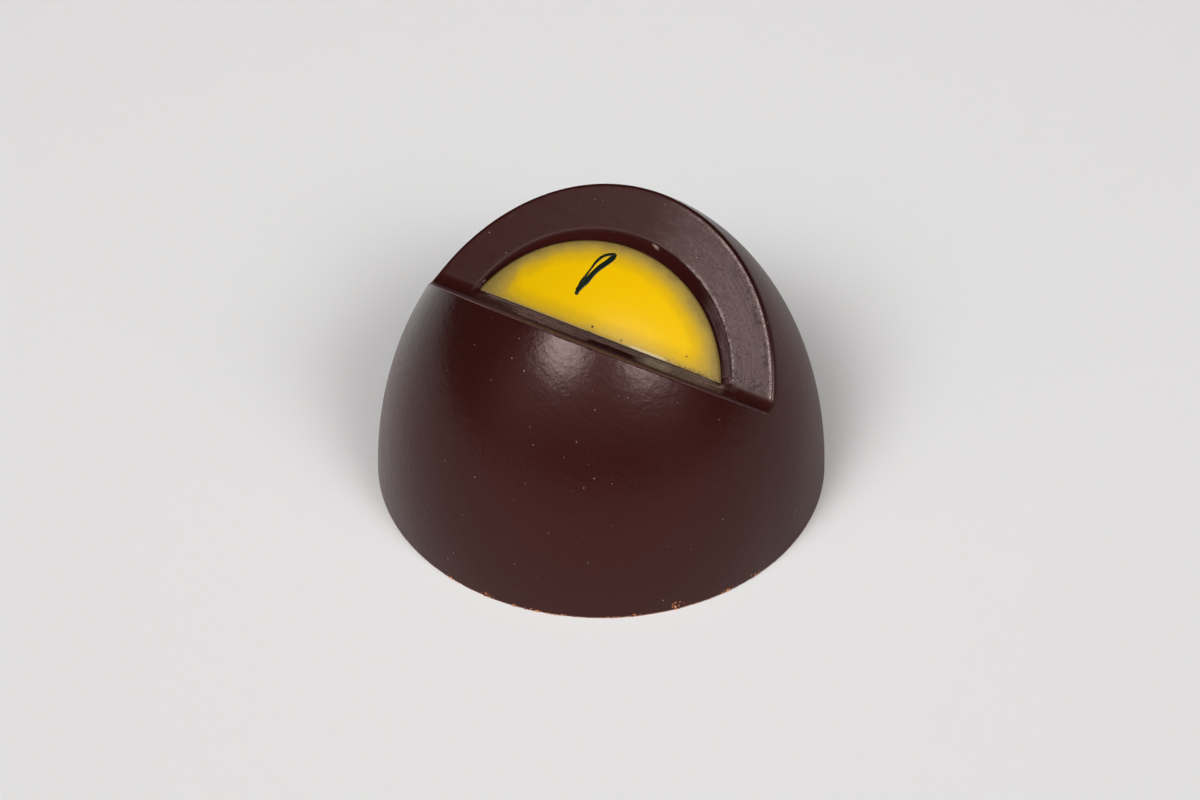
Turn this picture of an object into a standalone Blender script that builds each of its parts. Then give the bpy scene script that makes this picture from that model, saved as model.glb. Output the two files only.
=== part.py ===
"""A moulded chocolate praline: a tall dome of dark chocolate with a V-shaped notch across its crown.

The notch's bottom line runs along X, just in front of the dome's axis. The wall that looks towards -Y,
the face, has a round recess in it, and a crowned cushion stands in the recess. Both are parts of discs
cut off straight, just above the notch's bottom. It all leaves the mould in one piece: the yellow on
the cushion is a skin of coloured cocoa butter. The origin is the middle of the flat base that the
praline stands on. Metres, +Z up.
"""

import math

import bmesh
import bpy
from mathutils import Matrix, Vector

# The dome, before anything is cut from it
BASE_RADIUS = 0.0145
CROWN_HEIGHT = 0.0204

# The notch: where its face crosses the dome's axis, how far down the face its bottom line lies from
# there, the lean of its two walls from upright, and the rounding between them
FACE_HEIGHT = 0.01035
NOTCH_BOTTOM = 0.00027
FACE_LEAN = math.radians(47.1)
LEDGE_LEAN = math.radians(45)
NOTCH_ROUNDING = 0.00094

# The recess is part of a disc, whose centre lies below the axis. Its wall and the cushion's run
# straight up and down, the way that the praline leaves its mould, and the recess opens a little
# outwards from its floor
RECESS_RADIUS = 0.00995
RECESS_DROP = 0.00273
RECESS_DEPTH = 0.0009
RECESS_FOOT = 0.0004
WALL_DRAFT = math.radians(4)

# The cushion is part of a smaller disc. It stands proud of the face at its arc, and more so at its
# straight side, where its crown is highest
CUSHION_RADIUS = 0.00975
CUSHION_DROP = 0.00323
CUSHION_EDGE = 0.00055
CUSHION_CROWN = 0.00185
CUSHION_FOOT = 0.00036

# Recess and cushion sit a little to the left of the dome's middle
RELIEF_SHIFT = -0.00013

# How far a cutter runs past what it cuts, and how deep the cushion roots in the chocolate round it
OVERSHOOT = 0.004
ROOT = 0.0004

TURN_STEPS = 96
PROFILE_ROWS = 26
DISC_SIDES = 112
FILLET_STEPS = 6
CUSHION_RINGS = 9


def clear_scene():
    """Empties the scene, whatever it held."""
    for obj in list(bpy.data.objects):
        bpy.data.objects.remove(obj, do_unlink=True)


def collection(name):
    """A new collection in the scene."""
    made = bpy.data.collections.new(name)
    bpy.context.scene.collection.children.link(made)
    return made


def finish(name, colour, roughness):
    """A Principled material of one colour."""
    material = bpy.data.materials.new(name)
    material.use_nodes = True
    shader = material.node_tree.nodes["Principled BSDF"]
    shader.inputs["Base Color"].default_value = (*colour, 1.0)
    shader.inputs["Roughness"].default_value = roughness
    shader.inputs["Metallic"].default_value = 0.0
    return material


def dark_chocolate():
    return finish("dark_chocolate", (0.040, 0.013, 0.010), 0.28)


def yellow_cocoa_butter():
    return finish("yellow_cocoa_butter", (0.85, 0.52, 0.004), 0.35)


def mesh_object(name, bm, into, material, parent=None):
    """Turns a bmesh into an object of the collection, shaded smooth up to its sharp edges."""
    mesh = bpy.data.meshes.new(name)
    bm.to_mesh(mesh)
    bm.free()
    mesh.materials.append(material)
    mesh.shade_smooth()
    mesh.set_sharp_from_angle(angle=math.radians(35))
    made = bpy.data.objects.new(name, mesh)
    made.parent = parent
    into.objects.link(made)
    return made


def as_cutter(obj):
    """Marks a helper that the finished praline leaves out."""
    obj.hide_render = True
    obj.display_type = "WIRE"
    return obj


def keep_above(bm, height):
    """Cuts away all that lies below this height on the face, and returns the cut's edges."""
    cut = bmesh.ops.bisect_plane(
        bm,
        geom=bm.verts[:] + bm.edges[:] + bm.faces[:],
        plane_co=(0, height, 0),
        plane_no=(0, 1, 0),
        clear_inner=True,
    )
    return [item for item in cut["geom_cut"] if isinstance(item, bmesh.types.BMEdge)]


def dome(into, material):
    """Half of a tall spheroid, turned from a quarter of an ellipse and closed by its base."""
    bm = bmesh.new()
    rim_to_crown = [math.radians(90) * row / PROFILE_ROWS for row in range(PROFILE_ROWS + 1)]
    profile = [
        bm.verts.new((BASE_RADIUS * math.cos(turn), 0, CROWN_HEIGHT * math.sin(turn)))
        for turn in reversed(rim_to_crown)
    ]
    profile[0].co.x = 0
    profile.append(bm.verts.new((0, 0, 0)))
    for upper, lower in zip(profile, profile[1:]):
        bm.edges.new((upper, lower))
    made = mesh_object("praline", bm, into, material)
    turn = made.modifiers.new("turn", "SCREW")
    turn.steps = turn.render_steps = TURN_STEPS
    turn.use_merge_vertices = True
    turn.merge_threshold = 0.00001
    turn.use_smooth_shade = True
    return made


def notch_cutter(into, material):
    """A bar stood on one edge, squeezed to the notch's angle and tipped, with that edge rounded."""
    bm = bmesh.new()
    bmesh.ops.create_cube(bm, size=1)
    side = 2 * CROWN_HEIGHT
    half_angle = (FACE_LEAN + LEDGE_LEAN) / 2
    stand_on_edge = Matrix.Rotation(math.radians(45), 4, "X")
    squeeze = Matrix.Diagonal((side, side, side / math.tan(half_angle), 1))
    bmesh.ops.transform(bm, matrix=squeeze @ stand_on_edge, verts=bm.verts)
    lowest = min(vert.co.z for vert in bm.verts)
    bottom = [edge for edge in bm.edges if all(vert.co.z < lowest + ROOT for vert in edge.verts)]
    tip = Matrix.Rotation((LEDGE_LEAN - FACE_LEAN) / 2, 4, "X")
    place = Vector((0, -NOTCH_BOTTOM * math.sin(FACE_LEAN), FACE_HEIGHT))
    place.z -= NOTCH_BOTTOM * math.cos(FACE_LEAN)
    move = Matrix.Translation(place) @ tip @ Matrix.Translation((0, 0, -lowest))
    bmesh.ops.transform(bm, matrix=move, verts=bm.verts)
    bmesh.ops.bevel(
        bm,
        geom=bottom,
        offset=NOTCH_ROUNDING / math.tan(half_angle),
        offset_type="OFFSET",
        affect="EDGES",
        segments=FILLET_STEPS,
        profile=0.5,
        material=-1,
    )
    return as_cutter(mesh_object("notch_cutter", bm, into, material))


def slanted(middle):
    """Moves a disc to its middle on the face, and slants it so that its side runs up and down."""
    slant = Matrix.Identity(4)
    slant[1][2] = 1 / math.tan(FACE_LEAN)
    return slant @ Matrix.Translation(middle)


def recess_cutter(into, material, face):
    """A shallow slanted disc, cut off straight."""
    bm = bmesh.new()
    height = RECESS_DEPTH + OVERSHOOT
    bmesh.ops.create_cone(
        bm,
        cap_ends=True,
        segments=DISC_SIDES,
        radius1=RECESS_RADIUS - RECESS_DEPTH * math.tan(WALL_DRAFT),
        radius2=RECESS_RADIUS + OVERSHOOT * math.tan(WALL_DRAFT),
        depth=height,
    )
    middle = Vector((RELIEF_SHIFT, -RECESS_DROP, height / 2 - RECESS_DEPTH))
    bmesh.ops.transform(bm, matrix=slanted(middle), verts=bm.verts)
    bmesh.ops.holes_fill(bm, edges=keep_above(bm, RECESS_FOOT))
    return as_cutter(mesh_object("recess_cutter", bm, into, material, face))


def cushion(into, material, face):
    """A slanted half-disc, crowned by rings that shrink to the middle of its straight side."""
    bm = bmesh.new()
    height = CUSHION_EDGE + RECESS_DEPTH + ROOT
    bmesh.ops.create_cone(
        bm,
        cap_ends=True,
        segments=DISC_SIDES,
        radius1=CUSHION_RADIUS,
        radius2=CUSHION_RADIUS,
        depth=height,
    )
    drop = CUSHION_DROP + CUSHION_EDGE / math.tan(FACE_LEAN)
    middle = Vector((RELIEF_SHIFT, -drop, CUSHION_EDGE - height / 2))
    bmesh.ops.transform(bm, matrix=slanted(middle), verts=bm.verts)
    bmesh.ops.holes_fill(bm, edges=keep_above(bm, CUSHION_FOOT))
    top = max(bm.faces, key=lambda side: side.calc_center_median().z)
    to_middle = Matrix.Translation((-RELIEF_SHIFT, -CUSHION_FOOT, 0))
    ring_height, size = CUSHION_EDGE, 1
    for ring in range(1, CUSHION_RINGS):
        next_size = math.cos(math.radians(90) * ring / CUSHION_RINGS)
        next_height = CUSHION_EDGE + CUSHION_CROWN * (1 - next_size**2)
        top = bmesh.ops.extrude_discrete_faces(bm, faces=[top])["faces"][0]
        shrink = next_size / size
        bmesh.ops.scale(bm, verts=top.verts, vec=(shrink, shrink, 1), space=to_middle)
        bmesh.ops.translate(bm, verts=top.verts, vec=(0, 0, next_height - ring_height))
        ring_height, size = next_height, next_size
    bmesh.ops.recalc_face_normals(bm, faces=bm.faces)
    return as_cutter(mesh_object("cushion_form", bm, into, material, face))


def combine(solid, operation, tool):
    """Adds a Boolean to the solid."""
    step = solid.modifiers.new(tool.name, "BOOLEAN")
    step.operation = operation
    step.solver = "EXACT"
    step.object = tool


def build():
    clear_scene()
    praline_parts = collection("chocolate_praline")
    cutters = collection("cutters")
    chocolate = dark_chocolate()
    yellow = yellow_cocoa_butter()

    # Everything on the face is drawn flat: x across it, y up it from the axis, z out of it.
    face = bpy.data.objects.new("face_plane", None)
    face.location = (0, 0, FACE_HEIGHT)
    face.rotation_euler = (math.radians(90) - FACE_LEAN, 0, 0)
    cutters.objects.link(face)

    praline = dome(praline_parts, chocolate)
    combine(praline, "DIFFERENCE", notch_cutter(cutters, chocolate))
    combine(praline, "DIFFERENCE", recess_cutter(cutters, chocolate, face))
    combine(praline, "UNION", cushion(cutters, yellow, face))


build()
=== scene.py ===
"""A moulded dark chocolate praline: a tall dome notched across its crown, with a yellow cushion on
one wall of the notch. Its pieces follow in the order they come about, then the table, the light and
the camera."""

import math

import bmesh
import bpy
import numpy as np
from mathutils import Matrix, Vector


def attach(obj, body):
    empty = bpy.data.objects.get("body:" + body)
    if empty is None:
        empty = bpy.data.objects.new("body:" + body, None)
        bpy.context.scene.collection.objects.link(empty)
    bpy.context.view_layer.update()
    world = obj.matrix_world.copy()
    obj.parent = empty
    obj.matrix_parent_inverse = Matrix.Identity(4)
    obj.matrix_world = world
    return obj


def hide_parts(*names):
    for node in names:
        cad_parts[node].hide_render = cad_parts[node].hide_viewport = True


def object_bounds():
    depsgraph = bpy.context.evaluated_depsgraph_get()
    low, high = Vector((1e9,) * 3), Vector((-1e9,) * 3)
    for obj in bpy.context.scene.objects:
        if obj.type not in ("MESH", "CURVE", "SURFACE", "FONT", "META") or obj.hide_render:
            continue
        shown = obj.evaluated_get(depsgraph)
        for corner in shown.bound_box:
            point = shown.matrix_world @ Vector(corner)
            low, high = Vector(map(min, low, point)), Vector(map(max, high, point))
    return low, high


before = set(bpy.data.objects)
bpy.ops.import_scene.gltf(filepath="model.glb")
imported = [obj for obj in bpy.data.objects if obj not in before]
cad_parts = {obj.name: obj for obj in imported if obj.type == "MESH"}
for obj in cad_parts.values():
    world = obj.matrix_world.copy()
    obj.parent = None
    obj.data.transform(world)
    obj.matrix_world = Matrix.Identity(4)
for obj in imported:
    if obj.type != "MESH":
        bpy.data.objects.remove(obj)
cad_low, cad_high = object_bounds()
mm = 0.001

# ---- The casting ----
# The praline leaves its mould as one casting of tempered dark chocolate: dome, notch, recess and
# cushion. The mould was milled with small tools, so every edge and corner is a little round, and
# the band's outer edge wore rounder still on the right.

base_radius = (cad_high.x - cad_low.x) / 2
crown_height = 20.4 * mm

# Where the notch's face crosses the dome's axis, how far down the face the notch's bottom lies from
# there, the lean of the notch's two walls from upright, and the ledge's turn from square to the face
face_height, notch_bottom = 10.35 * mm, 0.27 * mm
face_lean, ledge_lean = math.radians(47.1), math.radians(45)
ledge_turn = math.radians(90) - face_lean - ledge_lean

# Recess and cushion are parts of discs. Each disc's middle lies a drop down the face from the axis,
# and a little to the left, and a foot's height above the axis is where it is cut off straight
recess_radius, recess_drop, recess_depth = 9.95 * mm, 2.73 * mm, 0.9 * mm
recess_foot = 0.4 * mm
cushion_radius, cushion_drop = 9.75 * mm, 3.23 * mm
cushion_edge, cushion_crown, cushion_root = 0.55 * mm, 1.85 * mm, 1.5 * mm
cushion_foot = 0.36 * mm
relief_shift = -0.13 * mm

# The roundings of edges and corners, and where they go from one to the other
ledge_rim_round = 0.13 * mm
band_rim_round = 0.2 * mm
base_round = 0.08 * mm
notch_fillet = 0.94 * mm
recess_edge_round = 0.07 * mm
recess_floor_fillet = 0.2 * mm
cushion_edge_round = 0.3 * mm
cushion_lip_round = 0.2 * mm
groove_fillet = 0.1 * mm
cushion_foot_fillet = 0.34 * mm
worn_from, worn_to = 0, 5 * mm
foot_fillet_top, groove_fillet_from = 0.5 * mm, 1.1 * mm

# The height over the sloping crown is a little more than the distance to it
distance_per_height = 0.95

first_voxel = 0.3 * mm
merge_distance = 0.001 * mm
sharp_turn = math.radians(9)
refinements = 2


def both(a, b, radius):
    """Distance to what two solids share, with its edge rounded."""
    corner = np.hypot(np.maximum(a + radius, 0), np.maximum(b + radius, 0))
    return np.minimum(np.maximum(a, b), -radius) + corner


def either(a, b, radius):
    """Distance to two solids joined, with a fillet between them."""
    return -both(-a, -b, radius)


def face_place(points):
    """Where points lie on the notch's face: across it, up it from the dome's axis, and out of it."""
    y, z = points[:, 1], points[:, 2] - face_height
    up = y * math.sin(face_lean) + z * math.cos(face_lean)
    out = z * math.sin(face_lean) - y * math.cos(face_lean)
    return points[:, 0], up, out


def crown_ring(across, up):
    """How far out a point is on the cushion: 0 at the middle of its straight side, 1 at its arc."""
    drop = cushion_drop + cushion_foot
    reach = cushion_radius**2 - drop**2
    x, above = across - relief_shift, np.maximum(up - cushion_foot, 0)
    lean = above * drop
    return (lean + np.sqrt(lean**2 + reach * (x**2 + above**2))) / reach


def upright_disc(across, up, out, drop, radius):
    """Distance to a disc on the face whose side runs up and down, the way out of the mould."""
    level = up - out / math.tan(face_lean) + drop
    far = np.hypot(across - relief_shift, level)
    return (far - radius) / np.sqrt(1 + (level / far / math.tan(face_lean)) ** 2)


def crown_height_at(across, up):
    """How far the cushion's crown stands out of the face."""
    return cushion_edge + cushion_crown * (1 - crown_ring(across, up) ** 2)


def cushion_form(across, up, out):
    """Distance to the crowned half-disc."""
    side = upright_disc(across, up, out - cushion_edge, cushion_drop, cushion_radius)
    crown = distance_per_height * (out - crown_height_at(across, up))
    pillow = both(crown, np.maximum(side, -out - cushion_root), cushion_edge_round)
    return both(pillow, cushion_foot - up, cushion_lip_round)


def blend(value, low, high, start, end):
    """Goes straight from start to end as the value goes from low to high, and stays there."""
    return start + (end - start) * np.clip((value - low) / (high - low), 0, 1)


def casting_form(points):
    """Distance to the whole casting: below zero inside it."""
    semi_axes = np.array((base_radius, base_radius, crown_height))
    near = np.linalg.norm(points / semi_axes, axis=1)
    slope = np.linalg.norm(points / semi_axes**2, axis=1)
    dome = near * (near - 1) / np.maximum(slope, 1e-9)
    across, up, out = face_place(points)
    ledge = (up + notch_bottom) * math.cos(ledge_turn) - out * math.sin(ledge_turn)
    body = both(dome, -points[:, 2], base_round)
    worn_side = blend(up, -0.2 * mm, 0.5 * mm, 0, 1) * blend(across, worn_from, worn_to, 0, 1)
    edge_round = ledge_rim_round + (band_rim_round - ledge_rim_round) * worn_side
    body = both(body, either(out, ledge, notch_fillet), edge_round)
    bore = upright_disc(across, up, out, recess_drop, recess_radius)
    recess = both(bore, -out - recess_depth, recess_floor_fillet)
    recess = both(recess, recess_foot - up, recess_floor_fillet)
    body = both(body, -recess, recess_edge_round)
    fillet = blend(up, foot_fillet_top, groove_fillet_from, cushion_foot_fillet, groove_fillet)
    return either(body, cushion_form(across, up, out), fillet)


def settle(points, form, rounds=4):
    """Moves points straight onto the form's surface, by its slope over a small step each way."""
    step, least_slope = 0.01 * mm, 0.5
    for _ in range(rounds):
        value = form(points)
        slope = np.stack(
            [form(points + step * axis) - form(points - step * axis) for axis in np.eye(3)], axis=1
        ) / (2 * step)
        slope /= np.maximum((slope**2).sum(axis=1), least_slope**2)[:, None]
        points = points - slope * value[:, None]
    return points


def settle_mesh(bm, form, rounds=4):
    """Settles a bmesh's points on the form."""
    points = settle(np.array([vert.co for vert in bm.verts]), form, rounds)
    for vert, place in zip(bm.verts, points):
        vert.co = place


def even_out(bm, form, passes):
    """Spaces the points evenly, without leaving the form."""
    for _ in range(passes):
        bmesh.ops.smooth_vert(
            bm, verts=bm.verts, factor=0.5, use_axis_x=True, use_axis_y=True, use_axis_z=True
        )
        settle_mesh(bm, form, rounds=2)


def refine(bm):
    """Splits the faces where the surface turns sharply."""
    turning = {
        face
        for edge in bm.edges
        if len(edge.link_faces) == 2 and edge.calc_face_angle() > sharp_turn
        for vert in edge.verts
        for face in vert.link_faces
    }
    edges = [edge for edge in bm.edges if turning.intersection(edge.link_faces)]
    bmesh.ops.subdivide_edges(bm, edges=edges, cuts=1, use_grid_fill=True)


def place_piece(name, mesh, material):
    """Puts a finished mesh in the scene as a piece of the praline."""
    mesh.name = name
    mesh.shade_smooth()
    piece = bpy.data.objects.new(name, mesh)
    bpy.context.scene.collection.objects.link(piece)
    mesh.materials.clear()
    mesh.materials.append(material)
    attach(piece, "root")
    return piece


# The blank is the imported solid, remeshed evenly. It is settled on the rounded form, and then made
# finer where it turns sharply.
cad_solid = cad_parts["praline"]
bm = bmesh.new()
bm.from_mesh(cad_solid.data)
bmesh.ops.remove_doubles(bm, verts=bm.verts, dist=merge_distance)
blank = bpy.data.meshes.new("blank")
bm.to_mesh(blank)
bm.free()
blank_solid = bpy.data.objects.new("blank", blank)
bpy.context.scene.collection.objects.link(blank_solid)
voxels = blank_solid.modifiers.new("voxels", "REMESH")
voxels.mode = "VOXEL"
voxels.voxel_size = first_voxel
bpy.context.view_layer.update()
graph = bpy.context.evaluated_depsgraph_get()
casting_mesh = bpy.data.meshes.new_from_object(blank_solid.evaluated_get(graph))
bpy.data.objects.remove(blank_solid)

bm = bmesh.new()
bm.from_mesh(casting_mesh)
settle_mesh(bm, casting_form)
even_out(bm, casting_form, passes=4)
for _ in range(refinements):
    refine(bm)
    settle_mesh(bm, casting_form)
    even_out(bm, casting_form, passes=3)
bm.normal_update()
bm.to_mesh(casting_mesh)
bm.free()


class Signal:
    """One value, place or colour of a material. An expression on it adds its nodes."""

    def __init__(self, tree, socket):
        self.tree, self.socket = tree, socket

    def node(self, kind, sockets, settings=None, output=0):
        """Any node, with its sockets fed by signals or plain numbers."""
        made = self.tree.nodes.new(kind)
        for name, value in (settings or {}).items():
            setattr(made, name, value)
        for name, value in sockets.items():
            if isinstance(value, Signal):
                self.tree.links.new(value.socket, made.inputs[name])
            else:
                made.inputs[name].default_value = value
        return Signal(self.tree, made.outputs[output])

    def maths(self, operation, *values):
        """A Math node."""
        return self.node("ShaderNodeMath", dict(enumerate(values)), {"operation": operation})

    def __add__(self, other):
        return self.maths("ADD", self, other)

    def __sub__(self, other):
        return self.maths("SUBTRACT", self, other)

    def __mul__(self, other):
        return self.maths("MULTIPLY", self, other)

    def __truediv__(self, other):
        return self.maths("DIVIDE", self, other)

    def __radd__(self, other):
        return self.maths("ADD", other, self)

    def __rsub__(self, other):
        return self.maths("SUBTRACT", other, self)

    def __rmul__(self, other):
        return self.maths("MULTIPLY", other, self)

    def __rtruediv__(self, other):
        return self.maths("DIVIDE", other, self)

    def least(self, other):
        return self.maths("MINIMUM", self, other)

    def most(self, other):
        return self.maths("MAXIMUM", self, other)

    def hypot(self, other):
        """How far off a place is, from how far off it is along two axes."""
        return self.maths("SQRT", self * self + other * other)

    def ramp(self, low, high, start=0.0, end=1.0):
        """Eases from start to end as the signal goes from low to high."""
        sockets = {"Value": self, "From Min": low, "From Max": high, "To Min": start, "To Max": end}
        return self.node("ShaderNodeMapRange", sockets, {"interpolation_type": "SMOOTHSTEP"})

    def between(self, low, full_low, full_high, high):
        """1 between the two middle limits, easing to 0 at the two outer ones."""
        return self.ramp(low, full_low) * self.ramp(full_high, high, 1, 0)

    def noise(self, size, detail=2.0):
        """Soft random patches of a size, where the signal is a place."""
        sockets = {"Vector": self, "Scale": 1 / size, "Detail": detail}
        return self.node("ShaderNodeTexNoise", sockets)

    def tint(self, first, second):
        """Goes from the first colour to the second as the signal goes from 0 to 1."""
        sockets = {0: self, 6: first, 7: second}
        return self.node("ShaderNodeMix", sockets, {"data_type": "RGBA"}, 2)

    def axes(self):
        """The three numbers of a place or a colour, each as a signal."""
        return [self.node("ShaderNodeSeparateXYZ", {0: self}, output=axis) for axis in range(3)]

    def place(self, x, y, z):
        """A place made of three signals or numbers."""
        return self.node("ShaderNodeCombineXYZ", {0: x, 1: y, 2: z})

    def bumps(self):
        """The normals of a surface raised by the signal, in metres."""
        return self.node("ShaderNodeBump", {"Height": self, "Strength": 1.0, "Distance": 1.0})


def new_material(name, roughness, specular):
    """A material, its shader's sockets, and the place on the praline as a signal."""
    material = bpy.data.materials.new(name)
    material.use_nodes = True
    shader = material.node_tree.nodes["Principled BSDF"]
    shader.inputs["Roughness"].default_value = roughness
    shader.inputs["Specular IOR Level"].default_value = specular
    shader.inputs["IOR"].default_value = 1.46
    here = Signal(material.node_tree, None).node("ShaderNodeTexCoord", {}, output=3)
    return material, shader.inputs, here


def feed(socket, signal):
    """Links a signal to one of the shader's sockets."""
    signal.tree.links.new(signal.socket, socket)


def face_signals(here):
    """Across, up and out of the notch's face, as signals in millimetres."""
    x, y, z = (axis / mm for axis in here.axes())
    z = z - face_height / mm
    sine, cosine = math.sin(face_lean), math.cos(face_lean)
    return x, y * sine + z * cosine, z * sine - y * cosine


crown_brown = (0.0225, 0.0048, 0.0038, 1)
foot_brown = (0.026, 0.0046, 0.0036, 1)
# Painted warm reflection for the flanks and back, seen edge-on
flank_reflection_red = (0.038, 0.0055, 0.0045, 1)
ledge_brown = (0.07, 0.028, 0.034, 1)
# Painted shade on the dome just past the band's outer edge
band_edge_shade_brown = (0.015, 0.0025, 0.002, 1)
# Painted highlight along the ledge's rounded rim
rim_glint_pale = (0.21, 0.13, 0.12, 1)
edge_pale = (0.21, 0.17, 0.165, 1)
scuffed_band = (0.062, 0.043, 0.041, 1)
# Scuffed groove, painted paler as painted light for its shade
groove_scuff_and_light = (0.24, 0.155, 0.15, 1)
pit_dark = (0.012, 0.004, 0.003, 1)
# Bare chocolate in the chip, painted paler as painted light
chip_tan_lit = (0.34, 0.24, 0.19, 1)
spray_brown = (0.27, 0.165, 0.135, 1)
spray_olive = (0.25, 0.195, 0.13, 1)
# Pale cream painted in the shaded crease, as painted light
crease_cream_light = (0.50, 0.385, 0.30, 1)
dust_grey = (0.36, 0.29, 0.25, 1)
chafed_tan = (0.42, 0.20, 0.13, 1)
sheen_rose = (1.0, 0.78, 0.76, 1)
polish, roughest = 0.21, 0.7

# Where a place is, in millimetres: on the face, on the whole praline, out from the recess's middle
# and past its rim, and how deep it lies under the dome's own surface. Only its turn round the middle
# is in radians. The masks below take their limits in millimetres, except on noise alone.
chocolate, inputs, here = new_material("dark_chocolate", roughness=polish, specular=0.29)
inputs["Specular Tint"].default_value = sheen_rose
across, up, out = face_signals(here)
x, y, z = (axis / mm for axis in here.axes())
side = across - relief_shift / mm
rise = up + recess_drop / mm
radial = side.hypot(rise)
turn = side.maths("ARCTAN2", rise, side)
past_rim = radial - recess_radius / mm
girth, height = x.hypot(y) / (base_radius / mm), z / (crown_height / mm)
depth = (1 - girth.hypot(height)) * (base_radius / mm)

speck = here.noise(0.09 * mm, 2) - 0.5
grain = here.noise(0.22 * mm, 3) - 0.5
coarse = here.noise(0.5 * mm, 3) - 0.5
patches = here.noise(1.3 * mm, 3) - 0.5
clouds = here.noise(5 * mm) - 0.5
streak_width, streaks_a_radian = 0.16, 5
streaks = here.place(radial / streak_width, turn * streaks_a_radian, 0).noise(1, 3) - 0.5

level = out.ramp(-0.12, -0.06)
in_notch = level * up.ramp(-0.5, -0.3)
on_band = level * up.ramp(0.5, 0.8) * past_rim.ramp(0, 0.1)

# The band round the cushion rubbed against its box on the right. It is scuffed along its curve and
# pitted there, and its edges are worn pale.
scuff = on_band * (across + patches * 4).ramp(-1.0, 7.5) * depth.ramp(0.12, 0.2)
inner_edge = past_rim.ramp(0.16, 0.3, 1, 0)
outer_edge = depth.between(0.12, 0.17, 0.24, 0.32)
edge_wear = on_band * inner_edge.most(outer_edge) * (across + patches * 5).ramp(1.5, 6.0)
edge_wear = edge_wear * (0.5 + streaks * 0.8 + coarse * 2.5 + speck * 4.5)
pitted = on_band * depth.between(0.2, 0.34, 0.4, 1.1) * (across + patches * 4).ramp(2, 5)
low_end = on_band * up.ramp(1.0, 2.6, 1, 0) * across.ramp(7.5, 9.5)
pitted = pitted.most(low_end) * (grain + coarse * 0.6 + speck * 0.5).ramp(0.05, 0.09)

# The groove between the band and the cushion came out of the mould dull. So did its rim on the left
# and the corner where it ends on the right, and on the right it is scuffed as well. There it is also
# painted paler, as painted light standing in for light reaching into the shaded groove.
groove = past_rim.between(-0.95, -0.75, 0.1, 0.2) * out.between(-1.2, -1.0, -0.08, -0.03)
groove = groove * up.ramp(0.1, 0.2)
in_groove = groove * up.ramp(0.5, 0.8) * (across + patches * 2).ramp(4.0, 7.5, 0, 0.85)
groove_end = past_rim.between(-0.65, -0.35, 0.25, 0.55) * up.between(0.1, 0.2, 0.7, 1.0)
groove_end = groove_end * out.ramp(-1.2, -1.0) * across.ramp(-2, 2)
soft_rim = past_rim.between(-0.1, 0, 0.11, 0.21) * up.ramp(0.1, 0.2)
soft_rim = soft_rim * across.ramp(-1, 3, 1, 0) * out.ramp(-0.3, -0.2)
scuff_and_painted_light = (scuff + in_groove) * (0.78 + streaks * 2 + grain * 1.7 + speck * 2)

# One chip broke out of the groove's edge near its top. It is wider than it is high, and slopes.
# Its colour is painted paler than bare chocolate, as painted light for the shade in the groove.
chip_across, chip_up, chip_slope, chip_flatness = 0.95, 7.08, 0.3, 1.73
chip_x = across - chip_across
chip_y = up - chip_up + chip_x * chip_slope
chip = chip_x.hypot(chip_y * chip_flatness).ramp(0.12, 0.34, 1, 0) * (0.8 + speck * 2)
chip = chip * out.between(-0.6, -0.5, -0.06, -0.02)

# A haze of overspray lies along the notch's bottom, in front of the cushion. It fades to the left and
# has a bald stretch and a drip. It is painted stronger in the middle, where the cushion shades it
# most, and pale cream in the crease at the cushion's very foot: painted light for that shade.
run = across + patches
bald = run.between(-1.3, -0.5, 2.3, 3.1) * up.ramp(0, 0.12, 1, 0)
along_foot = up.between(-0.28, -0.12, 0.4, 0.48) * out.ramp(-0.4, -0.2)
along_foot = along_foot * past_rim.ramp(-0.6, -0.2, 1, 0) * (1 - bald)
middle = (side * side).ramp(4**2, 9**2, 1.0, 0.3)
faded = (across + patches * 3).ramp(-7.8, -5.0, 0.3, 1)
drip = run.between(3.1, 3.7, 4.7, 5.5)
spray_and_light = along_foot * middle * faded
spray_and_light = spray_and_light * (0.45 + drip * 0.3 + speck * 1.3 + grain * 0.6 + patches * 0.7)
crease_light = up.ramp(0.2, 0.34) * out.ramp(0.4, 0.9, 1, 0) * (side * side).ramp(7.8**2, 8.8**2, 1, 0)
spray_and_light = spray_and_light.most(along_foot * crease_light * (0.85 + speck * 0.7))
spray_and_light_colour = crease_light.tint(across.ramp(1, 4).tint(spray_brown, spray_olive), crease_cream_light)

# The ledge, the notch's front wall, came out of the mould dull. A fine pale line along its rim is
# a painted highlight on the rounded edge.
ledge_lift = (up + notch_bottom / mm) * math.cos(ledge_turn) - out * math.sin(ledge_turn)
on_ledge = ledge_lift.between(-0.08, -0.03, 0.03, 0.1) * out.ramp(0.4, 0.8)
rim_glint = depth.ramp(0.03, 0.08, 1, 0) * ledge_lift.between(-0.09, -0.05, 0, 0.03)
rim_glint = rim_glint * out.ramp(0.2, 0.5) * (across + patches * 2).ramp(-5.5, -3, 1, 0.25)
rim_glint = rim_glint * (0.8 + speck * 1.5)

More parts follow.
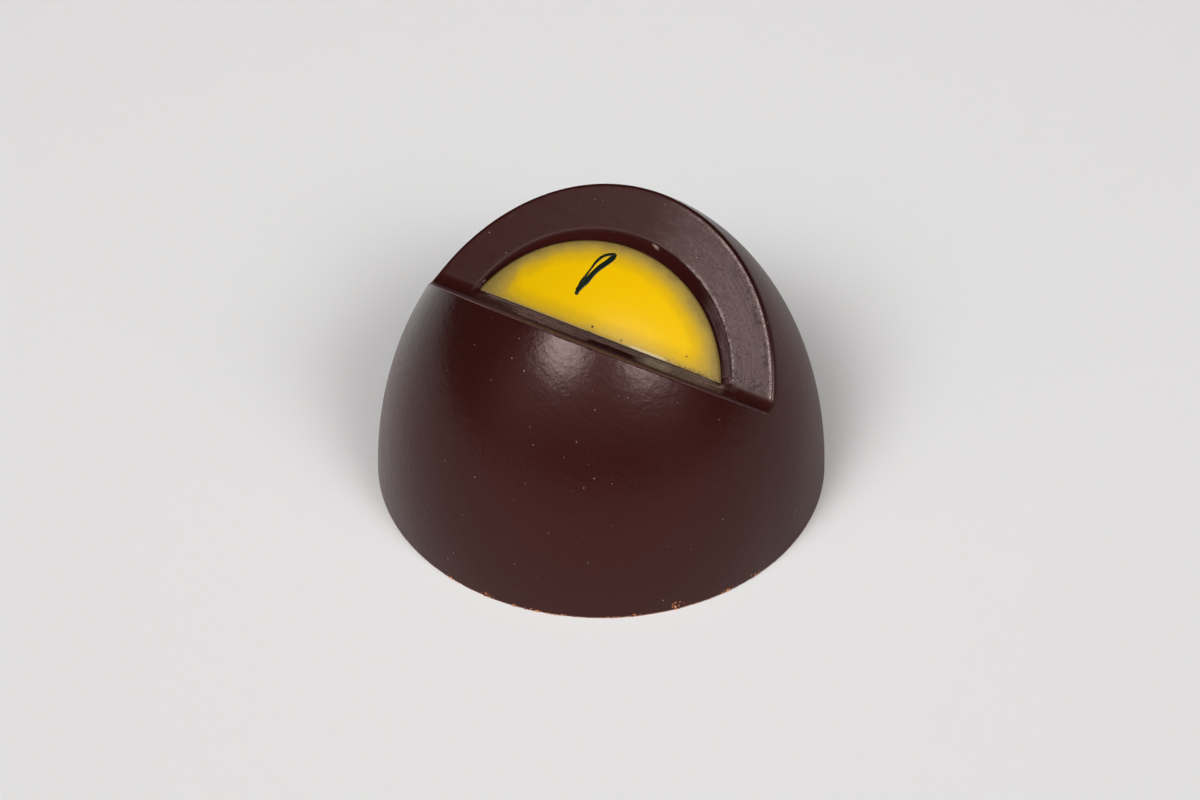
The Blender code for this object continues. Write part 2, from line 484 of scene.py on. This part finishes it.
# The dome is duller low down and where it was handled. Its flanks and back, seen edge-on, are
# painted redder: a painted warm reflection. The dome just past the band's outer edge on the right is
# painted darker, as painted shade. It is chafed along its base, where it slid on the board.
front_azimuth = math.radians(30)
to_front = x * math.sin(front_azimuth) - y * math.cos(front_azimuth)
low_down = (z + clouds * 3).ramp(8, 15, 1, 0) * (1 - in_notch)
handled = (x + y).ramp(8, 14) * (1 - on_band)
flank_reflection = to_front.ramp(0, 8, 1, 0) * (1 - in_notch) * (1 - out.ramp(0, 1) * z.ramp(8, 12))
band_edge_shade = out.ramp(-0.42, -0.24) * up.ramp(0.6, 1.2) * across.ramp(0, 4)
band_edge_shade = band_edge_shade * depth.ramp(0.12, 0.18, 1, 0) * (1 - groove)
chafed = z.ramp(0.06, 0.14, 1, 0) * (patches * 4 + speck * 2).ramp(-0.5, 0.3, 0.25, 0.9)

# Dust settled on it after it was turned out: a grain in every fourth cell or so, most of them faint.
dust_cell = 0.5 * mm
dust_cells = {"Vector": here, "Scale": 1 / dust_cell}
from_grain = here.node("ShaderNodeTexVoronoi", dust_cells)
chance, pale, _ = here.node("ShaderNodeTexVoronoi", dust_cells, output=1).axes()
dust = from_grain.ramp(0.05, 0.1, 1, 0) * chance.ramp(0.76, 0.765) * (0.2 + pale * pale * 0.8)

layers = (
    (flank_reflection, flank_reflection_red),
    (on_ledge, ledge_brown),
    (band_edge_shade, band_edge_shade_brown),
    (rim_glint, rim_glint_pale),
    (scuff_and_painted_light, in_groove.tint(scuffed_band, groove_scuff_and_light)),
    (edge_wear, edge_pale),
    (pitted, pit_dark),
    (chip, chip_tan_lit),
    (spray_and_light, spray_and_light_colour),
    (dust, dust_grey),
    (chafed, chafed_tan),
)
brown = low_down.tint(crown_brown, foot_brown)
for mask, colour in layers:
    brown = mask.tint(brown, colour)
feed(inputs["Base Color"], brown)

dull_places = (
    (on_band, -0.06),
    (scuff, 0.2),
    (groove, 0.35),
    (groove_end.most(soft_rim), 0.4),
    (spray_and_light, 0.3),
    (on_ledge, 0.45),
    (low_down, 0.09),
    (handled, 0.17),
    (band_edge_shade, 0.1),
)
rough = polish + grain * 0.12
for mask, dulling in dull_places:
    rough = rough + mask * dulling
feed(inputs["Roughness"], rough.least(roughest))

relief = grain * 0.010 + coarse * 0.015 + speck * 0.003 + here.noise(1.6 * mm) * 0.02
relief = relief * (1 - in_notch * 0.95) + (streaks * 0.006 + speck * 0.003) * scuff
feed(inputs["Normal"], (relief * mm).bumps())
casting = place_piece("casting", casting_mesh, chocolate)
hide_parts("praline")

# ---- The yellow cocoa butter ----
# The maker brushes yellow cocoa butter into the mould's cushion before casting, and it comes out as
# a skin on the chocolate. It is heavy in the middle and thins out to nothing all round, with a few
# pinholes near its foot. Its lower edge turns down into shade and is painted pale cream there, as
# painted light, and a pale streak along its foot is a painted highlight.

skin_rise, skin_depth = 0.03 * mm, 0.08 * mm
skin_margin = 0.03 * mm
skin_foot = cushion_foot - skin_margin
skin_reach = cushion_radius - skin_margin
skin_steps, skin_rings = 120, 30

full_yellow = (0.625, 0.39, 0.0003, 1)
soft_yellow = (0.51, 0.322, 0.005, 1)
thin_olive = (0.28, 0.2, 0.038, 1)
bare_olive = (0.17, 0.12, 0.037, 1)
# Painted light for the skin's shaded lower edge
lip_cream_light = (0.50, 0.40, 0.24, 1)
mottle_brown = (0.15, 0.1, 0.035, 1)
# Painted highlight along the skin's foot
glint_cream = (0.58, 0.50, 0.32, 1)
pinhole_dark = (0.018, 0.008, 0.005, 1)
pinholes = ((-0.02, 0.78, 0.11), (2.12, 0.64, 0.085), (6.3, 1.2, 0.07))


def face_point(across, up, out):
    """The place of a point given across, up and out of the notch's face."""
    y = up * math.sin(face_lean) - out * math.cos(face_lean)
    z = up * math.cos(face_lean) + out * math.sin(face_lean)
    return Vector((across, y, face_height + z))


def skin_form(rise):
    """Distance to the casting grown by a rise."""
    return lambda points: casting_form(points) - rise


def over_cushion(bm, rise):
    """Lifts a flat sheet's points onto the cushion, then onto the grown casting."""
    flat = np.array([vert.co for vert in bm.verts])
    crown = np.maximum(crown_height_at(flat[:, 0], flat[:, 1]), 0)
    for vert, (across, up, _), out in zip(bm.verts, flat, crown):
        vert.co = face_point(across, up, out)
    settle_mesh(bm, skin_form(rise))


bm = bmesh.new()
start = math.asin((cushion_drop + skin_foot) / skin_reach)
rim = [
    bm.verts.new(
        (
            relief_shift + skin_reach * math.cos(angle),
            skin_reach * math.sin(angle) - cushion_drop,
            0,
        )
    )
    for angle in np.linspace(start, math.pi - start, skin_steps + 1)
]
edges = [bm.edges.new(pair) for pair in zip(rim, rim[1:])]
middle = Vector((relief_shift, skin_foot, 0))
for ring in range(skin_rings - 1, 0, -1):
    made = bmesh.ops.extrude_edge_only(bm, edges=edges)["geom"]
    edges = [item for item in made if isinstance(item, bmesh.types.BMEdge)]
    verts = [item for item in made if isinstance(item, bmesh.types.BMVert)]
    shrink = ring / (ring + 1)
    bmesh.ops.scale(bm, verts=verts, vec=(shrink, shrink, 1), space=Matrix.Translation(-middle))
made = bmesh.ops.extrude_edge_only(bm, edges=edges)["geom"]
verts = [item for item in made if isinstance(item, bmesh.types.BMVert)]
bmesh.ops.pointmerge(bm, verts=verts, merge_co=middle)
over_cushion(bm, skin_rise)
bmesh.ops.recalc_face_normals(bm, faces=bm.faces)
bmesh.ops.solidify(bm, geom=bm.verts[:] + bm.edges[:] + bm.faces[:], thickness=skin_depth)
bmesh.ops.recalc_face_normals(bm, faces=bm.faces)
skin_mesh = bpy.data.meshes.new("skin")
bm.to_mesh(skin_mesh)
bm.free()

# Where it is thin, the chocolate shows through. The signals are in millimetres.
yellow, inputs, here = new_material("yellow_cocoa_butter", roughness=0.3, specular=0.1)
across, up, _ = face_signals(here)
fine = here.noise(0.16 * mm, 3) - 0.5
patches = here.noise(1.5 * mm, 3) - 0.5
from_middle = (across - relief_shift / mm).hypot(up + cushion_drop / mm)
rim_gap = cushion_radius / mm - from_middle
foot_gap = up - cushion_foot / mm
thin_rim = (rim_gap + patches * 0.7 + fine * 0.2).ramp(-0.1, 2.1, 1.0, 0.0)
thin_foot = (foot_gap + patches * 0.5 + fine * 0.3).ramp(-0.9, 1.7, 1.0, 0.0)
thin_tip = (across + patches * 2).ramp(-8.2, -5.2, 0.6, 0.0)
thin = 1 - (1 - thin_rim) * (1 - thin_foot) * (1 - thin_tip)
bare = (thin + fine * 0.3).ramp(0.74, 1.05)
lip_light = (up + fine * 0.1).ramp(0.34, 0.5, 1, 0)
mottle = (0.34 - foot_gap * 1.3 + fine * 2.2 + patches * 0.4).ramp(0, 0.35, 0, 0.8)
mottle = mottle * (across + patches * 2).ramp(3.4, 5.4)
lip_glint = (across + fine * 2).between(2.2, 3.2, 4.6, 5.8)
lip_glint = lip_glint * (up + fine * 0.2).ramp(0.5, 0.62, 1, 0) * (0.7 + fine)

layers = (
    (thin.ramp(0.3, 0.9), thin_olive),
    (bare, bare_olive),
    (lip_light, lip_cream_light),
    (mottle, mottle_brown),
    (lip_glint, glint_cream),
)
butter = thin.ramp(0.0, 0.35).tint(full_yellow, soft_yellow)
for mask, colour in layers:
    butter = mask.tint(butter, colour)
for hole_across, hole_up, hole_radius in pinholes:
    far = (across - hole_across).hypot(up - hole_up)
    butter = far.ramp(hole_radius / 2, hole_radius, 1, 0).tint(butter, pinhole_dark)
feed(inputs["Base Color"], butter)
feed(inputs["Normal"], (here.noise(0.3 * mm, 2) * 0.002 * mm).bumps())
place_piece("yellow_skin", skin_mesh, yellow)

# ---- The brush mark ----
# A pip drawn with a fine brush in dark green cocoa butter: one heavy stroke and one light one that
# curves back over it, joined at both ends, with two blots where the brush was lifted. Rows give
# across, up and width in millimetres, and a blot's give its radius.

mark_rise, mark_depth = 0.06 * mm, 0.06 * mm
stroke_steps, stroke_smoothings, stroke_ribs, blot_sides = 60, 7, 7, 16
dark_green = (0.004, 0.010, 0.004, 1)
heavy_stroke = (
    (-2.0, 2.56, 0.2),
    (-1.95, 2.67, 0.28),
    (-1.91, 2.96, 0.38),
    (-1.74, 3.33, 0.42),
    (-1.64, 3.82, 0.36),
    (-1.5, 4.24, 0.37),
    (-1.31, 4.63, 0.4),
    (-1.12, 4.94, 0.39),
    (-0.96, 5.32, 0.42),
    (-0.9, 5.62, 0.18),
)
light_stroke = (
    (-2.07, 2.8, 0.16),
    (-2.05, 3.27, 0.24),
    (-2.0, 3.52, 0.2),
    (-1.96, 3.89, 0.12),
    (-1.89, 4.24, 0.12),
    (-1.87, 4.52, 0.16),
    (-1.81, 4.82, 0.2),
    (-1.68, 5.15, 0.21),
    (-1.49, 5.36, 0.2),
    (-1.2, 5.52, 0.19),
    (-0.92, 5.62, 0.17),
)
blots = ((-2.02, 2.68, 0.17), (-1.99, 2.44, 0.15))


def stroke_path(points):
    """A smooth run of places and widths through a stroke's points."""
    table = np.array(points) * mm
    spots = np.arange(len(table))
    runs = np.linspace(0, len(table) - 1, stroke_steps)
    smooth = np.stack([np.interp(runs, spots, column) for column in table.T], axis=1)
    for _ in range(stroke_smoothings):
        smooth[1:-1] = (smooth[:-2] + 2 * smooth[1:-1] + smooth[2:]) / 4
    return smooth


bm = bmesh.new()
for points in (heavy_stroke, light_stroke):
    path = stroke_path(points)
    heading = np.gradient(path[:, :2], axis=0)
    heading /= np.linalg.norm(heading, axis=1)[:, None]
    rows = []
    for (across, up, width), (run, climb) in zip(path, heading):
        row = []
        for share in np.linspace(-0.5, 0.5, stroke_ribs):
            aside = width * share
            row.append(bm.verts.new((across - climb * aside, up + run * aside, 0)))
        rows.append(row)
    for row, following in zip(rows, rows[1:]):
        for left, right, far_right, far_left in zip(row, row[1:], following[1:], following):
            bm.faces.new((left, right, far_right, far_left))
for across, up, radius in blots:
    bmesh.ops.create_circle(
        bm,
        cap_ends=True,
        segments=blot_sides,
        radius=radius * mm,
        matrix=Matrix.Translation((across * mm, up * mm, 0)),
    )
over_cushion(bm, mark_rise)
bmesh.ops.recalc_face_normals(bm, faces=bm.faces)
bmesh.ops.solidify(bm, geom=bm.verts[:] + bm.edges[:] + bm.faces[:], thickness=mark_depth)
bmesh.ops.recalc_face_normals(bm, faces=bm.faces)
mark_mesh = bpy.data.meshes.new("mark")
bm.to_mesh(mark_mesh)
bm.free()

green, inputs, _ = new_material("dark_green_cocoa_butter", roughness=0.3, specular=0.4)
inputs["Base Color"].default_value = dark_green
place_piece("brush_mark", mark_mesh, green)

# ---- The crumbs ----
# Crumbs of bare chocolate that chipped from the rim of the base when it was turned out and slid
# across the board. They cling to the foot of the dome, lighter and redder than its polished skin.
# Each cluster gives its angle from the front, its spread, its count and how many millimetres it climbs.

crumb_clusters = (
    (-41, 1.5, 5, 0.15),
    (-30, 2.5, 14, 0.3),
    (-19, 5.0, 14, 0.12),
    (-10, 6.0, 10, 0.1),
    (3, 5.0, 10, 0.1),
    (9, 1.5, 9, 0.15),
    (19.5, 2.0, 18, 0.6),
    (27, 5.0, 8, 0.12),
    (34.5, 1.2, 12, 0.3),
    (43, 1.5, 8, 0.3),
)

# A crumb's radius is its size times its fullness, and is then stretched along each axis
smallest_crumb, largest_crumb, crumb_fullness = 0.04 * mm, 0.11 * mm, 0.66
least_stretch, most_stretch = 0.5, 1.5
crumb_brown = (0.16, 0.05, 0.03, 1)
crumb_tan = (0.62, 0.26, 0.11, 1)

bm = bmesh.new()
scatter = np.random.default_rng(4)
for middle, spread, count, climb in crumb_clusters:
    for _ in range(count):
        turned = front_azimuth + math.radians(middle + scatter.normal(0, spread / 2))
        size = scatter.uniform(smallest_crumb, largest_crumb)
        lift = size + climb * mm * scatter.random() ** 2
        foot_radius = base_radius * math.sqrt(1 - (lift / crown_height) ** 2)
        stretch = Matrix.Diagonal((*scatter.uniform(least_stretch, most_stretch, 3), 1))
        place = Vector((foot_radius * math.sin(turned), -foot_radius * math.cos(turned), lift))
        spin = Matrix.Rotation(scatter.uniform(0, math.pi), 4, "Z")
        bmesh.ops.create_icosphere(
            bm,
            subdivisions=1,
            radius=size * crumb_fullness,
            matrix=Matrix.Translation(place) @ spin @ stretch,
        )
crumb_mesh = bpy.data.meshes.new("crumbs")
bm.to_mesh(crumb_mesh)
bm.free()

bare_chocolate, inputs, here = new_material("bare_chocolate", roughness=0.6, specular=0.3)
shade = here.noise(0.3 * mm, 2).ramp(0.35, 0.65)
feed(inputs["Base Color"], shade.tint(crumb_brown, crumb_tan))
place_piece("crumbs", crumb_mesh, bare_chocolate)

# ---- The table and the light ----
# A plain pale table top. Two strong soft boxes stand in front, to the left and right of the camera,
# each with a small one beside it. Three wide, faint and rosy ones stand for the glow of the room.
table_reach = 3
table_grey = (0.65, 0.672, 0.671, 1)

bm = bmesh.new()
bmesh.ops.create_grid(bm, x_segments=1, y_segments=1, size=table_reach)
table_mesh = bpy.data.meshes.new("table")
bm.to_mesh(table_mesh)
bm.free()
table = bpy.data.objects.new("table", table_mesh)
bpy.context.scene.collection.objects.link(table)
pale_board = bpy.data.materials.new("pale_board")
pale_board.use_nodes = True
shader = pale_board.node_tree.nodes["Principled BSDF"]
shader.inputs["Base Color"].default_value = table_grey
shader.inputs["Roughness"].default_value = 0.7
table_mesh.materials.append(pale_board)

lamp_distance = 0.7
white, rosy = (1, 1, 1), (1, 0.79, 0.78)
room_glow = 0.03
view_azimuth, view_elevation = math.radians(30.37), math.radians(42.29)


def towards(azimuth, elevation):
    """The direction seen at an azimuth from -Y towards +X, and an elevation."""
    flat = math.cos(elevation)
    return Vector((math.sin(azimuth) * flat, -math.cos(azimuth) * flat, math.sin(elevation)))


def soft_box(name, azimuth, elevation, reach, glow, tone):
    """A round lamp aimed at the praline, at degrees from the camera's azimuth. The grid on it makes
    its glow fade evenly from its middle to its reach."""
    reach = math.radians(reach)
    lamp = bpy.data.lights.new(name, "AREA")
    lamp.shape = "DISK"
    lamp.size = 2 * lamp_distance * math.tan(reach)
    area = math.pi * (lamp.size / 2) ** 2
    lamp.spread = 2 * reach
    lamp.energy = glow * math.pi * area * (1 - reach / math.tan(reach))
    lamp.color = tone
    stand = bpy.data.objects.new(name, lamp)
    away = towards(view_azimuth + math.radians(azimuth), math.radians(elevation))
    stand.location = away * lamp_distance
    stand.rotation_euler = away.to_track_quat("Z", "Y").to_euler()
    bpy.context.scene.collection.objects.link(stand)


soft_box("key_box", azimuth=-36.5, elevation=50.2, reach=18.5, glow=20, tone=white)
soft_box("key_edge", azimuth=-49, elevation=46, reach=8, glow=4, tone=white)
soft_box("fill_box", azimuth=36, elevation=45, reach=17, glow=16, tone=white)
soft_box("fill_edge", azimuth=49, elevation=32.5, reach=9, glow=4, tone=white)
soft_box("side_box", azimuth=-51, elevation=22.5, reach=29, glow=0.9, tone=rosy)
soft_box("wide_box", azimuth=41, elevation=33, reach=32, glow=1.1, tone=rosy)
soft_box("room_box", azimuth=-7, elevation=47, reach=39, glow=1.4, tone=rosy)

world = bpy.data.worlds.new("room")
world.use_nodes = True
background = world.node_tree.nodes["Background"]
background.inputs["Color"].default_value = (*white, 1)
background.inputs["Strength"].default_value = room_glow
bpy.context.scene.world = world
bpy.context.scene.view_settings.view_transform = "Standard"

# ---- The camera ----
# A long lens, from high in front and to the right, and far enough off that what is near hardly looks
# larger than what is far. It is aimed a little above the middle of the base.
camera_distance = 28 * base_radius
aim_right, aim_up = -0.08 * mm, 4.08 * mm

camera_data = bpy.data.cameras.new("camera")
camera_data.sensor_width = 36
camera_data.lens = 187.4
camera_data.clip_start, camera_data.clip_end = 0.01, 10
back = towards(view_azimuth, view_elevation)
look = (-back).to_track_quat("-Z", "Y")
camera = bpy.data.objects.new("camera", camera_data)
camera.rotation_mode = "QUATERNION"
camera.rotation_quaternion = look
camera.location = look @ Vector((aim_right, aim_up, 0)) + back * camera_distance
bpy.context.scene.collection.objects.link(camera)
bpy.context.scene.camera = camera
